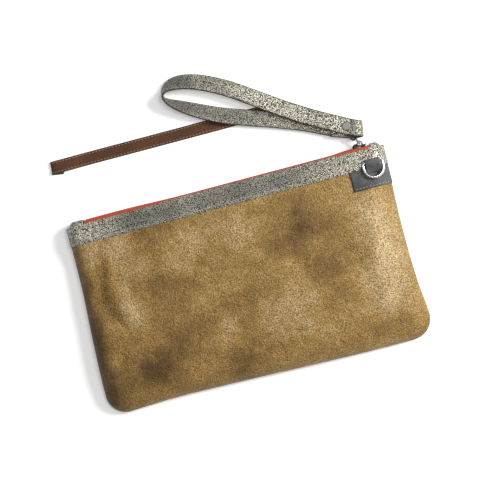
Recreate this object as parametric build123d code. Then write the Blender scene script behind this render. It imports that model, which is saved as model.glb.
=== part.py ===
from build123d import *
import math
import os

# A zippered leather pouch lying on its back. +X runs along the mouth to the closed end of
# the zipper, +Y points out of the mouth and +Z is up, away from the surface that it lies on.
# The origin is on that surface, under the middle of the back panel. Millimetres.

# Pouch body
mouth_width = 251.0
waist_width = 250.0
base_width = 256.0
mouth_y = 73.5
base_y = -76.0
waist_y = 20.0
base_corner_radius = 17.0
leather = 1.4
lining = 0.5
band_height = 15.0
back_rim_height = 3.5
back_edge_round = 2.0
seam_gap = 0.3

# Puffed front: its height at the mouth, at its crown and where the edges turn down
mouth_thickness = 14.8
crown_thickness = 20.0
crown_y = -5.0
base_shoulder_in = 20.0
side_shoulder_in = 18.0
side_overhang = 0.5
side_crown_drop = 1.5
base_turn_in = 0.28
base_turn_rise = 0.68
side_turn_in = 0.3
side_turn_rise = 0.62

# Zipper
tape = 0.6
tape_sewn_width = 11.0
chain_reach = 1.8
row_width = 2.0
row_gap = 0.3
row_thickness = 1.6
cover_left_x = -112.5
cover_right_x = 114.5
cover_height = 13.0
cover_reach = 3.6
cover_chamfer = 6.0
stop_length = 1.5
stop_height_ratio = 1.3
soft_gap = 0.35

# Slider
slider_length = 11.2
slider_width = 8.0
plate = 1.1
slider_clearance = 0.35
flange = 1.0
wedge_length = 4.6
wedge_half = 1.3
dome_radius = 2.9
dome_lift = 0.9
tail_narrowing = 0.8
slider_corner = 1.4
slider_edge_round = 0.4
wedge_inset = 1.0
pin_share = 0.57
crown_hole_radius = 1.2
crown_wall = 1.2
crown_width = 1.2
travel_gap = 0.3

# Puller and strap ring
puller_thickness = 1.4
puller_width = 3.0
puller_reach = 4.6
eyelet_radius = 1.0
pin_half = 0.7
ring_wire_radius = 0.7
ring_half_width = 2.9

# Rivet
rivet_x = 100.8
rivet_y = 94.2
post_radius = 1.5
cap_radius = 3.5
back_cap_thickness = 0.8
cap_thickness = 1.2
cap_round_ratio = 0.6
post_ring_gap = 0.4

# Straps
wrist_width = 12.7
wrist_thickness = 1.8
pull_width = 10.0
pull_thickness = 1.4
pull_hole_gap = 0.3
pull_lift = 0.15
layer_gap = 0.25
ring_room = 0.5

# D-ring and its leather tab
tab_left_x = 93.5
tab_right_x = 124.5
tab_top_y = 59.0
tab_low_y = 43.0
tab_thickness = 1.3
tongue_width = 11.8
tongue_tail = 6.5
d_ring_x = 112.5
d_ring_bar_y = 62.4
d_ring_wire_radius = 1.1
d_ring_inner_width = 13.0
d_ring_depth = 11.8
d_ring_corner = 1.6
d_ring_gap = 0.2
d_ring_lift = 1.0

# Derived places
far = 400.0
band_low_y = mouth_y - band_height
front_floor_z = back_rim_height + seam_gap
chain_y = mouth_y + chain_reach
crown_rise = crown_thickness - mouth_thickness
crown_arc_radius = ((mouth_y - crown_y) ** 2 + crown_rise**2) / (2 * crown_rise)
pull_z = back_cap_thickness + pull_lift + pull_thickness / 2
end_layer_z = pull_z + (pull_thickness + wrist_thickness) / 2 + layer_gap
return_layer_z = end_layer_z + wrist_thickness
ring_z = return_layer_z + wrist_thickness / 2 + ring_room + ring_wire_radius
top_layer_z = ring_z + ring_wire_radius + ring_room + wrist_thickness / 2
chain_z = ring_z
slider_end_x = cover_right_x - stop_length - 2 * travel_gap
slider_start_x = slider_end_x - slider_length
plate_inner_half = row_thickness / 2 + slider_clearance
top_plate_y = chain_y + plate_inner_half + plate
pin_x = slider_start_x + pin_share * slider_length
pin_y = top_plate_y + crown_hole_radius


def surface_z(y):
    """Height of the front's outer surface on its crown arc."""
    return crown_thickness - crown_arc_radius + math.sqrt(crown_arc_radius**2 - (y - crown_y) ** 2)


def surface_slope(y):
    """Angle in degrees by which the surface falls towards the mouth."""
    return math.degrees(math.asin((y - crown_y) / crown_arc_radius))


def block(x0, x1, y0, y1, z0, z1):
    """Box between two corners."""
    middle = Pos((x0 + x1) / 2, (y0 + y1) / 2, (z0 + z1) / 2)
    return middle * Box(abs(x1 - x0), abs(y1 - y0), abs(z1 - z0))


def outline(grow):
    """Plan of the pouch, with waisted sides and round base corners, run on past the mouth."""
    top_y = mouth_y + 2 * cover_height
    half_mouth = mouth_width / 2
    half_base = base_width / 2
    with BuildSketch() as sketch:
        with BuildLine():
            Line((-half_mouth, top_y), (-half_mouth, mouth_y))
            ThreePointArc((-half_mouth, mouth_y), (-waist_width / 2, waist_y), (-half_base, base_y))
            Line((-half_base, base_y), (half_base, base_y))
            ThreePointArc((half_base, base_y), (waist_width / 2, waist_y), (half_mouth, mouth_y))
            Line((half_mouth, mouth_y), (half_mouth, top_y))
            Line((half_mouth, top_y), (-half_mouth, top_y))
        make_face()
        fillet(sketch.vertices().group_by(Axis.Y)[0], base_corner_radius)
        if grow:
            offset(amount=grow, kind=Kind.INTERSECTION)
    return sketch.sketch


def lengthwise_profile(grow):
    """Side view of the puffed front: a round base edge and one long crown arc to the mouth."""
    shoulder_y = base_y + base_shoulder_in
    shoulder_z = surface_z(shoulder_y)
    top_y = mouth_y + 2 * cover_height
    with BuildSketch() as sketch:
        with BuildLine():
            Line((base_y, -cover_height), (base_y, front_floor_z))
            mid_y = base_y + base_turn_in * base_shoulder_in
            mid_z = front_floor_z + base_turn_rise * (shoulder_z - front_floor_z)
            ThreePointArc((base_y, front_floor_z), (mid_y, mid_z), (shoulder_y, shoulder_z))
            top_z = surface_z(top_y)
            ThreePointArc((shoulder_y, shoulder_z), (crown_y, crown_thickness), (top_y, top_z))
            Line((top_y, top_z), (top_y, -cover_height))
            Line((top_y, -cover_height), (base_y, -cover_height))
        make_face()
        if grow:
            offset(amount=grow, kind=Kind.INTERSECTION)
    return sketch.sketch


def crosswise_profile(grow):
    """End view of the puffed front: a shallow crown between two round side edges."""
    half = base_width / 2 + side_overhang
    shoulder_x = half - side_shoulder_in
    shoulder_z = crown_thickness - side_crown_drop
    mid_x = half - side_turn_in * side_shoulder_in
    mid_z = front_floor_z + side_turn_rise * (shoulder_z - front_floor_z)
    with BuildSketch() as sketch:
        with BuildLine():
            Line((-half, -cover_height), (-half, front_floor_z))
            ThreePointArc((-half, front_floor_z), (-mid_x, mid_z), (-shoulder_x, shoulder_z))
            ThreePointArc((-shoulder_x, shoulder_z), (0, crown_thickness), (shoulder_x, shoulder_z))
            ThreePointArc((shoulder_x, shoulder_z), (mid_x, mid_z), (half, front_floor_z))
            Line((half, front_floor_z), (half, -cover_height))
            Line((half, -cover_height), (-half, -cover_height))
        make_face()
        if grow:
            offset(amount=grow, kind=Kind.INTERSECTION)
    return sketch.sketch


def pillow(grow, floor_z):
    """Everything under the front's outer surface, swollen by grow, down to floor_z."""
    plan = extrude(Pos(0, 0, floor_z) * outline(grow), amount=2 * crown_thickness)
    side_plane = Plane(origin=(0, 0, 0), x_dir=(0, 1, 0), z_dir=(1, 0, 0))
    lengthwise = extrude(side_plane * lengthwise_profile(grow), amount=base_width, both=True)
    end_plane = Plane(origin=(0, 0, 0), x_dir=(1, 0, 0), z_dir=(0, -1, 0))
    crosswise = extrude(end_plane * crosswise_profile(grow), amount=base_width, both=True)
    return plan & lengthwise & crosswise


def front_layer(outer, inner):
    """The part of the front's wall between two depths below its outer surface."""
    return pillow(-outer, front_floor_z) - pillow(-inner, front_floor_z)


def back_tray():
    """Back of the pouch: a flat floor with a low rim that meets the front along the seam."""
    shell = extrude(outline(0), amount=back_rim_height)
    bottom_edges = shell.edges().group_by(Axis.Z)[0]
    shell = fillet(bottom_edges, back_edge_round)
    hollow = extrude(Pos(0, 0, leather) * outline(-leather), amount=back_rim_height)
    return shell - hollow


def below_band():
    return block(-far, far, -far, band_low_y, -far, far)


def band_zone():
    return block(-far, far, band_low_y, mouth_y, -far, far)


def front_panel():
    return front_layer(0, leather) & below_band()


def front_band():
    return front_layer(0, leather) & band_zone()


def front_lining():
    room = block(-far, far, -far, mouth_y - tape_sewn_width, -far, far)
    return front_layer(leather, leather + lining) & room


def back_panel():
    return back_tray() & below_band()


def back_band():
    return back_tray() & band_zone()


def back_lining():
    sheet = extrude(Pos(0, 0, leather) * outline(-leather), amount=lining)
    return sheet & block(-far, far, -far, mouth_y - tape_sewn_width, -far, far)


def tape_edge_z(way):
    """Height of a tape's middle at its band's edge; way is +1 at the front, -1 at the back."""
    if way > 0:
        return surface_z(mouth_y) - leather - tape / 2
    return leather + tape / 2


def tape_lip(way):
    """Tape from a band's edge round to its row of teeth."""
    edge_z = tape_edge_z(way)
    turn_z = edge_z - way * chain_reach
    row_z = chain_z + way * (row_gap / 2 + row_width)
    with BuildSketch(Plane(origin=(0, 0, 0), x_dir=(0, 1, 0), z_dir=(1, 0, 0))) as sketch:
        with Locations((mouth_y, turn_z)):
            Circle(chain_reach + tape / 2)
            Circle(chain_reach - tape / 2, mode=Mode.SUBTRACT)
            corner = chain_reach + tape
            with Locations((corner / 2, way * corner / 2)):
                Rectangle(corner, corner, mode=Mode.INTERSECT)
        run = abs(turn_z - row_z)
        with Locations((chain_y, (turn_z + row_z) / 2)):
            Rectangle(tape, run)
    length = cover_right_x - cover_left_x - 2 * travel_gap
    centre_x = (cover_right_x + cover_left_x) / 2
    return Pos(centre_x, 0, 0) * extrude(sketch.sketch, amount=length / 2, both=True)


def tape_zone():
    """Where a tape is sewn under its band."""
    low_y = mouth_y - tape_sewn_width
    return block(cover_left_x + travel_gap, cover_right_x - travel_gap, low_y, mouth_y, -far, far)


def front_tape():
    sewn = front_layer(leather, leather + tape) & tape_zone()
    return sewn + tape_lip(1)


def back_tape():
    sheet = extrude(Pos(0, 0, leather) * outline(-leather), amount=tape)
    return (sheet & tape_zone()) + tape_lip(-1)


def teeth_row(way):
    """One row of the coil as a bar, parted from the other row round the slider's wedge."""
    start_x = cover_left_x + travel_gap + stop_length + travel_gap
    wedge_x = slider_end_x - wedge_length
    near = chain_z + way * row_gap / 2
    spread = way * (wedge_half + 2 * travel_gap)
    points = [
        (start_x, near),
        (wedge_x - 3 * travel_gap, near),
        (slider_end_x, near + spread),
        (slider_end_x, near + spread + way * row_width),
        (wedge_x - 3 * travel_gap, near + way * row_width),
        (start_x, near + way * row_width),
    ]
    plane = Plane(origin=(0, chain_y, 0), x_dir=(1, 0, 0), z_dir=(0, -1, 0))
    with BuildSketch(plane) as sketch:
        with BuildLine():
            Polyline(points, close=True)
        make_face()
    row = extrude(sketch.sketch, amount=row_thickness / 2, both=True)
    depth = abs(spread) + row_width
    slot = block(start_x, slider_end_x, chain_y - tape / 2, chain_y + tape / 2, -far, far)
    tape_edge = chain_z + way * (row_gap / 2 + row_width)
    side = block(start_x, slider_end_x, mouth_y, far, tape_edge, tape_edge + way * depth)
    return row - (slot & side) - tape_lip(way)


def top_stop(way):
    """Metal clip at the closed end of one row."""
    near = chain_z + way * row_gap
    far_z = near + way * row_width * stop_height_ratio
    half = row_thickness / 2
    x0 = slider_end_x + travel_gap
    clip = block(x0, x0 + stop_length, chain_y - half, chain_y + half, near, far_z)
    tape_edge = chain_z + way * (row_gap / 2 + row_width)
    slot = block(x0, x0 + stop_length, chain_y - tape / 2, chain_y + tape / 2,
                 tape_edge, tape_edge + way * row_width)
    return clip - slot


def bottom_stop():
    """Metal clip across both rows at the open end."""
    x0 = cover_left_x + travel_gap
    x1 = x0 + stop_length
    half = row_thickness / 2
    low_z = chain_z - row_gap / 2 - row_width
    high_z = chain_z - row_gap / 2 + row_width
    return block(x0, x1, chain_y - half, chain_y + half, low_z, high_z)


def end_cover(inner_x, way):
    """Leather folded over one end of the zipper, with its outer corner cut off."""
    top_y = mouth_y + cover_reach
    low_y = top_y - cover_height
    edge_x = way * mouth_width / 2
    room = pillow(-leather - soft_gap, leather)
    corner = Polyline(
        (inner_x, low_y), (edge_x, low_y), (edge_x, top_y - cover_chamfer),
        (edge_x - way * cover_chamfer, top_y), (inner_x, top_y), close=True,
    )
    prism = extrude(make_face(corner), amount=far, both=True)
    return room & prism


def slider_plan(shrink):
    """Outline of a slider plate, narrower at the tail, with round corners."""
    half = slider_width / 2 - shrink
    tail = half - tail_narrowing
    with BuildSketch(Plane(origin=(0, 0, chain_z), x_dir=(1, 0, 0), z_dir=(0, -1, 0))) as sketch:
        with BuildLine():
            Polyline(
                (slider_start_x + shrink, -tail), (slider_end_x - shrink, -half),
                (slider_end_x - shrink, half), (slider_start_x + shrink, tail), close=True,
            )
        make_face()
        fillet(sketch.vertices(), slider_corner - shrink)
    return sketch.sketch


def slider_dome():
    """Ball that swells the slider's nose."""
    return Pos(slider_start_x + dome_radius, chain_y + dome_lift, chain_z) * Sphere(dome_radius)


def slider_body():
    """Two plates joined by a wedge, with flanges that leave slots for the tapes."""
    low_y = chain_y - plate_inner_half - plate
    bulk = extrude(Pos(0, top_plate_y, 0) * slider_plan(0), amount=top_plate_y - low_y)
    rims = bulk.edges().group_by(Axis.Y)[-1] + bulk.edges().group_by(Axis.Y)[0]
    bulk = fillet(rims, slider_edge_round)
    bulk = bulk + (slider_dome() & block(-far, far, top_plate_y - plate, far, -far, far))
    half = slider_width / 2 - flange
    channel = block(slider_start_x - 1, slider_end_x + 1, chain_y - plate_inner_half,
                    chain_y + plate_inner_half, chain_z - half, chain_z + half)
    channel += block(slider_end_x - wedge_length - 1, slider_end_x + 1, chain_y - plate_inner_half,
                     chain_y + plate_inner_half, chain_z - slider_width, chain_z + slider_width)
    slot_half = tape / 2 + slider_clearance
    slots = block(slider_start_x - 1, slider_end_x + 1, chain_y - slot_half, chain_y + slot_half,
                  chain_z - slider_width, chain_z + slider_width)
    wedge_x = slider_end_x - wedge_length
    back_x = slider_end_x - wedge_inset
    plane = Plane(origin=(0, chain_y, chain_z), x_dir=(1, 0, 0), z_dir=(0, -1, 0))
    with BuildSketch(plane) as sketch:
        with BuildLine():
            Polyline((wedge_x, 0), (back_x, -wedge_half), (back_x, wedge_half), close=True)
        make_face()
    wedge = extrude(sketch.sketch, amount=plate_inner_half, both=True)
    return bulk - channel - slots + wedge


def slider_crown():
    """Bridge on the slider that holds the puller's pin."""
    plane = Plane(origin=(pin_x, pin_y, chain_z), x_dir=(1, 0, 0), z_dir=(0, 0, 1))
    outer = crown_hole_radius + crown_wall
    with BuildSketch(plane) as sketch:
        Circle(outer)
        with Locations((0, -crown_hole_radius / 2)):
            Rectangle(2 * outer, crown_hole_radius)
        Circle(crown_hole_radius, mode=Mode.SUBTRACT)
        with Locations((0, -crown_hole_radius / 2)):
            Rectangle(2 * crown_hole_radius, crown_hole_radius, mode=Mode.SUBTRACT)
        with Locations((0, -crown_hole_radius - outer)):
            Rectangle(4 * outer, 2 * outer, mode=Mode.SUBTRACT)
    bridge = extrude(sketch.sketch, amount=crown_width / 2, both=True)
    return bridge - slider_dome()


def puller_plane():
    """Plane of the puller: its x runs from the slider's pin to the rivet, its y is up."""
    reach = Vector(rivet_x - pin_x, rivet_y - pin_y, 0).normalized()
    across = reach.cross(Vector(0, 0, 1))
    return Plane(origin=(pin_x, pin_y, ring_z), x_dir=reach, z_dir=across)


def puller():
    """Small plate, on edge, with a window for the crown and an eyelet for the strap ring."""
    half = puller_width / 2
    window_start = pin_half
    window_end = crown_hole_radius + crown_wall + travel_gap
    window_half = crown_width / 2 + travel_gap
    with BuildSketch(puller_plane()) as sketch:
        with Locations(((puller_reach - pin_half) / 2, 0)):
            Rectangle(puller_reach + pin_half, puller_width)
        with Locations((puller_reach, 0)):
            Circle(half)
            Circle(eyelet_radius, mode=Mode.SUBTRACT)
        with Locations(((window_start + window_end) / 2, 0)):
            Rectangle(window_end - window_start, 2 * window_half, mode=Mode.SUBTRACT)
    return extrude(sketch.sketch, amount=puller_thickness / 2, both=True)


def strap_ring():
    """Oval wire ring from the puller's eyelet round the rivet's post."""
    base = puller_plane()
    reach = base.x_dir
    flat = Plane(origin=(pin_x, pin_y, ring_z), x_dir=reach, z_dir=(0, 0, 1))
    post_distance = math.hypot(rivet_x - pin_x, rivet_y - pin_y)
    near = puller_reach + ring_half_width
    beyond = post_radius + post_ring_gap + ring_wire_radius
    end = post_distance + beyond - ring_half_width
    with BuildLine(flat) as path:
        Line((near, ring_half_width), (end, ring_half_width))
        ThreePointArc((end, ring_half_width), (end + ring_half_width, 0), (end, -ring_half_width))
        Line((end, -ring_half_width), (near, -ring_half_width))
        ThreePointArc((near, -ring_half_width), (near - ring_half_width, 0), (near, ring_half_width))
    section = Plane(origin=flat.from_local_coords(Vector(near, ring_half_width, 0)), z_dir=reach)
    with BuildSketch(section) as wire:
        Circle(ring_wire_radius)
    return sweep(wire.sketch, path=path.line)


# Wrist strap: centre points with the heading and the rise, in degrees, of its width direction.
# It starts at the short end folded back under the rivet, goes round the ring, out along the
# upper strand, on edge round the tip and back along the lower strand to the rivet.
wrist_route = [
    (89.5, 95.6, return_layer_z, -116, 0),
    (96.0, 93.2, return_layer_z, -113, 0),
    (102.9, 91.0, return_layer_z, -108, 0),
    (104.6, 90.4, return_layer_z - 0.6, -106, 0),
    (106.4, 90.0, return_layer_z - 1.3, -104, 0),
    (108.6, 89.6, return_layer_z - 1.6, -102, 0),
    (111.2, 89.4, ring_z - 2.6, -101, 0),
    (112.3, 89.3, ring_z, -100, 0),
    (111.2, 89.8, ring_z + 2.6, -101, 0),
    (108.6, 90.6, top_layer_z + 1.6, -103, 0),
    (106.4, 91.4, top_layer_z + 1.3, -105, 0),
    (104.8, 92.2, top_layer_z + 0.6, -107, 0),
    (103.6, 92.8, top_layer_z, -109, 0),
    (97.5, 96.2, top_layer_z, -114, 0),
    (84.0, 103.8, top_layer_z + 0.1, -118, 0),
    (70.9, 112.0, top_layer_z - 0.2, -123, 0),
    (54.2, 123.0, top_layer_z - 0.7, -125, 4),
    (37.4, 134.9, top_layer_z - 1.2, -125, 8),
    (20.5, 146.5, 8.0, -123, 14),
    (4.0, 155.3, 7.6, -117, 26),
    (-8.5, 160.0, 7.3, -110, 42),
    (-19.0, 160.8, 7.1, -98, 60),
    (-26.5, 157.6, 7.0, -88, 76),
    (-28.8, 152.6, 6.9, -110, 84),
    (-26.2, 147.8, 6.6, -124, 70),
    (-20.5, 143.6, 5.9, -128, 52),
    (-11.0, 138.0, 5.0, -127, 34),
    (-0.5, 132.4, 4.5, -122, 20),
    (11.0, 127.0, 4.1, -115, 12),
    (26.0, 121.4, 3.7, -110, 6),
    (48.0, 113.8, end_layer_z, -109, 2),
    (70.0, 105.4, end_layer_z, -112, 0),
    (88.0, 97.0, end_layer_z, -115, 0),
    (102.6, 90.8, end_layer_z, -111, 0),
]

# Pull strap: from its riveted end, under the wrist strap, straight along the mouth and
# folded under at its far end.
table_z = pull_thickness / 2
pull_route = [
    (104.4, 92.6, pull_z, -115, 0),
    (97.2, 96.0, pull_z, -116, 0),
    (86.0, 101.8, 1.1, -118, 0),
    (74.0, 109.0, table_z, -119, 0),
    (64.0, 114.6, table_z, -114, 0),
    (55.0, 118.6, table_z, -106, 0),
    (45.0, 121.0, table_z, -97, 0),
    (34.0, 121.6, table_z, -91, 0),
    (-98.0, 121.6, table_z, -90, 0),
    (-108.0, 121.5, table_z + 0.7, -90, 0),
    (-116.0, 121.4, table_z + 1.5, -91, 0),
    (-124.6, 121.3, table_z + 1.5, -92, 0),
    (-125.5, 121.2, table_z + 0.75, -94, 0),
    (-124.6, 120.9, table_z, -97, 0),
    (-117.0, 119.8, table_z, -98, 0),
]


def strap(route, width, thickness):
    """Flat strap through a route: one rectangle at each point, joined by straight strips."""
    points = [Vector(x, y, z) for x, y, z, heading, rise in route]
    sections = []
    for i, (x, y, z, heading, rise) in enumerate(route):
        before = points[max(i - 1, 0)]
        after = points[min(i + 1, len(points) - 1)]
        along = (after - before).normalized()
        level = math.cos(math.radians(rise))
        across = Vector(
            level * math.cos(math.radians(heading)),
            level * math.sin(math.radians(heading)),
            math.sin(math.radians(rise)),
        )
        across = (across - along * across.dot(along)).normalized()
        with BuildSketch(Plane(origin=points[i], x_dir=across, z_dir=along)) as sketch:
            Rectangle(width, thickness)
        sections.append(sketch.sketch.face())
    return loft(sections, ruled=True)


def rivet_hole(radius):
    return Pos(rivet_x, rivet_y, 0) * Cylinder(radius, far)


def wrist_strap():
    return strap(wrist_route, wrist_width, wrist_thickness) - rivet_hole(post_radius)


def pull_strap():
    return strap(pull_route, pull_width, pull_thickness) - rivet_hole(post_radius + pull_hole_gap)


def rivet_cap():
    """Domed cap on the wrist strap."""
    base_z = top_layer_z + wrist_thickness / 2
    disc = Pos(rivet_x, rivet_y, base_z + cap_thickness / 2) * Cylinder(cap_radius, cap_thickness)
    return fillet(disc.edges().group_by(Axis.Z)[-1], cap_round_ratio * cap_thickness)


def rivet_post():
    """Post through every layer with the flat back cap that the strap rests on."""
    top_z = top_layer_z + wrist_thickness / 2
    post = Pos(rivet_x, rivet_y, top_z / 2) * Cylinder(post_radius, top_z)
    back = Pos(rivet_x, rivet_y, back_cap_thickness / 2) * Cylinder(cap_radius, back_cap_thickness)
    return post + back


def d_ring_bar_z():
    """Height of the D-ring's bar, which clears the tab by the ring's gap."""
    return surface_z(d_ring_bar_y) + tab_thickness + d_ring_gap + d_ring_wire_radius


def d_ring_tab():
    """T-shaped leather tab: a base sewn on the front and a tongue folded round the bar."""
    left_x = d_ring_x - tongue_width / 2
    right_x = d_ring_x + tongue_width / 2
    base = block(tab_left_x, tab_right_x, tab_low_y, tab_top_y, front_floor_z, far)
    base += block(left_x, right_x, tab_top_y, d_ring_bar_y, front_floor_z, far)
    base = base & (pillow(tab_thickness, front_floor_z) - pillow(0, front_floor_z))
    tail_y = d_ring_bar_y - tongue_tail
    tail_z = surface_z(tail_y) + tab_thickness
    bar_z = d_ring_bar_z()
    inner = d_ring_wire_radius + d_ring_gap
    side = Plane(origin=(0, 0, 0), x_dir=(0, 1, 0), z_dir=(1, 0, 0))
    outer_line = Pos(d_ring_bar_y, bar_z) * Circle(inner + tab_thickness)
    outer_tail = Pos(tail_y, tail_z) * Circle(tab_thickness)
    inner_line = Pos(d_ring_bar_y, bar_z) * Circle(inner)
    inner_tail = Pos(tail_y + tab_thickness, tail_z + d_ring_gap) * Circle(d_ring_gap)
    outer = make_hull(outer_line.edges() + outer_tail.edges())
    hole = make_hull(inner_line.edges() + inner_tail.edges())
    loop = Pos(d_ring_x, 0, 0) * extrude(side * outer, amount=tongue_width / 2, both=True)
    bore = Pos(d_ring_x, 0, 0) * extrude(side * hole, amount=tongue_width, both=True)
    return (base + (loop - pillow(0, front_floor_z))) - bore


def d_ring():
    """Wire D lying on the tab, parallel to the front's surface."""
    half = (d_ring_inner_width + 2 * d_ring_wire_radius) / 2
    tilt = surface_slope(d_ring_bar_y - d_ring_depth / 2) + d_ring_lift
    flat = Plane(origin=(d_ring_x, d_ring_bar_y, d_ring_bar_z())).rotated((-tilt, 0, 0))
    straight = d_ring_depth - half
    with BuildLine(flat) as path:
        Line((0, 0), (half - d_ring_corner, 0))
        RadiusArc((half - d_ring_corner, 0), (half, -d_ring_corner), d_ring_corner)
        Line((half, -d_ring_corner), (half, -straight))
        ThreePointArc((half, -straight), (0, -d_ring_depth), (-half, -straight))
        Line((-half, -straight), (-half, -d_ring_corner))
        RadiusArc((-half, -d_ring_corner), (-half + d_ring_corner, 0), d_ring_corner)
        Line((-half + d_ring_corner, 0), (0, 0))
    with BuildSketch(Plane(origin=flat.origin, z_dir=(1, 0, 0))) as wire:
        Circle(d_ring_wire_radius)
    return sweep(wire.sketch, path=path.line)


def main():
    os.makedirs("parts", exist_ok=True)
    nodes = {
        "back_panel": back_panel(),
        "back_band": back_band(),
        "back_lining": back_lining(),
        "back_tape": back_tape(),
        "back_teeth": teeth_row(-1),
        "back_top_stop": top_stop(-1),
        "bottom_stop": bottom_stop(),
        "left_end_cover": end_cover(cover_left_x, -1),
        "right_end_cover": end_cover(cover_right_x, 1),
        "front_panel": front_panel(),
        "front_band": front_band(),
        "front_lining": front_lining(),
        "front_tape": front_tape(),
        "front_teeth": teeth_row(1),
        "front_top_stop": top_stop(1),
        "d_ring_tab": d_ring_tab(),
        "d_ring": d_ring(),
        "slider_body": slider_body(),
        "slider_crown": slider_crown(),
        "puller": puller(),
        "strap_ring": strap_ring(),
        "wrist_strap": wrist_strap(),
        "rivet_cap": rivet_cap(),
        "rivet_post": rivet_post(),
        "pull_strap": pull_strap(),
    }
    for name, shape in nodes.items():
        export_step(shape, f"parts/{name}.step")


main()
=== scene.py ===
import math

import bpy
import numpy as np
from bpy.props import FloatProperty, FloatVectorProperty, PointerProperty
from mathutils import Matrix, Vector, noise


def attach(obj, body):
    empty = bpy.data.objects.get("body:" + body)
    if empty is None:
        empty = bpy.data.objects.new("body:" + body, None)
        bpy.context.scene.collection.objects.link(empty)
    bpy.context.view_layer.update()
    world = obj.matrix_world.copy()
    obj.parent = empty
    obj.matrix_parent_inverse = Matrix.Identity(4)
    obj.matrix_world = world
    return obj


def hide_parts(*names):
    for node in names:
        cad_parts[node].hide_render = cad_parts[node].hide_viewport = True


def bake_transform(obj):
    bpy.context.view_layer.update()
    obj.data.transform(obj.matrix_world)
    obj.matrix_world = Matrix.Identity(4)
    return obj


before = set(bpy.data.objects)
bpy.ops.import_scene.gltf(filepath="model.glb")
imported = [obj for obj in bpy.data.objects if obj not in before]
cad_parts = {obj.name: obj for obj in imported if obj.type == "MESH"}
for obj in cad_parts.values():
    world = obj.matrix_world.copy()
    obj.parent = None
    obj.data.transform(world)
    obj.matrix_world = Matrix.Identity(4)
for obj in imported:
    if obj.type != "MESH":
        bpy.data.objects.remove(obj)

bl_info = {
    "name": "Leather pouch",
    "version": (1, 0, 0),
    "blender": (4, 5, 0),
    "location": "View3D > Sidebar > Pouch",
    "description": "Builds the visible leather, zipper, straps and stage of a zippered pouch",
    "category": "Add Mesh",
}

MM = 0.001
SEAM_Z = 3.65
BASE_Y = -76.0
MOUTH_Y = 73.5
BAND_LOW_Y = 58.5
CROWN_Y = -5.0
CROWN_Z = 20.0
CROWN_RADIUS = 595.0
SIDE_ROUND = 19.0
LEFT_ROUND = 13.0
BASE_ROUND = 22.0
CORNER_RADIUS = 16.5
CHAIN_Y = 75.3
CHAIN_Z = 7.4
COVER_LEFT_X = -112.5
COVER_RIGHT_X = 114.5
D_RING_X = 112.5
D_RING_BAR_Y = 62.4
D_RING_BAR_Z = 18.77
SIDES = (("left", -1), ("right", 1))

# Layers of the soft parts
BAND_DEPTH = 1.3
BAND_LIFT = 0.62
BACK_EDGE_ROUND = 6.0
BACK_EDGE_GRID = 7.0
LINING_REACH = 11.2
FRONT_LINING = (1.6, 2.0)
BACK_LINING = (1.45, 1.85)
TAPE_DEPTH = 1.75
TAPE_HALF = 0.28
COIL_WIRE = 0.3
COIL_END_X = 107.0
WRIST_THICKNESS = 1.8
PULL_THICKNESS = 1.4
SEWING_INSET = 1.6
THREAD_RADIUS = 0.24
STRAP_THREAD_RADIUS = 0.2
TABLE_Z = 0.05


# ---------------------------------------------------------------- numbers along curves

def smooth(t):
    """Smooth step of a value between 0 and 1."""
    t = np.clip(t, 0.0, 1.0)
    return t * t * (3 - 2 * t)


def through(value, stops):
    """Smooth curve through (place, height) stops in rising order of place."""
    places = np.array([s[0] for s in stops], float)
    heights = np.array([s[1] for s in stops], float)
    value = np.clip(np.asarray(value, float), places[0], places[-1])
    slopes = np.gradient(heights, places)
    i = np.clip(np.searchsorted(places, value) - 1, 0, len(places) - 2)
    width = places[i + 1] - places[i]
    t = (value - places[i]) / width
    a = 2 * t**3 - 3 * t**2 + 1
    b = t**3 - 2 * t**2 + t
    c = -2 * t**3 + 3 * t**2
    d = t**3 - t**2
    return a * heights[i] + b * width * slopes[i] + c * heights[i + 1] + d * width * slopes[i + 1]


LEFT_EDGE = ((-78, -130.2), (-51, -130.4), (-18, -129.2), (28, -126.8), (60, -126.4), (80, -126.2))
RIGHT_EDGE = ((-78, 127.0), (-60, 126.4), (-36, 124.2), (14, 123.2), (55, 124.6), (80, 125.0))
BASE_SAG = ((-130, 0.6), (-80, 2.6), (-30, 1.8), (30, -0.1), (80, -1.3), (130, -1.2))


def corner_inset(y):
    """How far the sides draw in at the round base corners."""
    rise = np.clip(y - BASE_Y, 0, CORNER_RADIUS)
    return CORNER_RADIUS - np.sqrt(CORNER_RADIUS**2 - (CORNER_RADIUS - rise) ** 2)


def left_edge(y):
    """Where the left side lies at a height up the pouch."""
    return through(y, LEFT_EDGE) + corner_inset(y)


def right_edge(y):
    """Where the right side lies at a height up the pouch."""
    return through(y, RIGHT_EDGE) - corner_inset(y)


def base_edge(x):
    """Where the sagging base lies along the pouch."""
    return BASE_Y + through(x, BASE_SAG)


def quarter(distance, reach):
    """Height share of a quarter-round edge, 0 at the edge and 1 past its reach."""
    t = np.clip(distance / reach, 0, 1)
    return np.sqrt(np.clip(1 - (1 - t) ** 2.2, 0, 1))


def soft_noise(x, y, size, seed):
    """Smooth noise about -0.5 to 0.5 with features of the given size in millimetres."""
    flat_x, flat_y = np.ravel(x), np.ravel(y)
    values = [noise.noise(Vector((a / size, b / size, seed))) for a, b in zip(flat_x, flat_y)]
    return np.array(values).reshape(np.shape(x))


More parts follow.
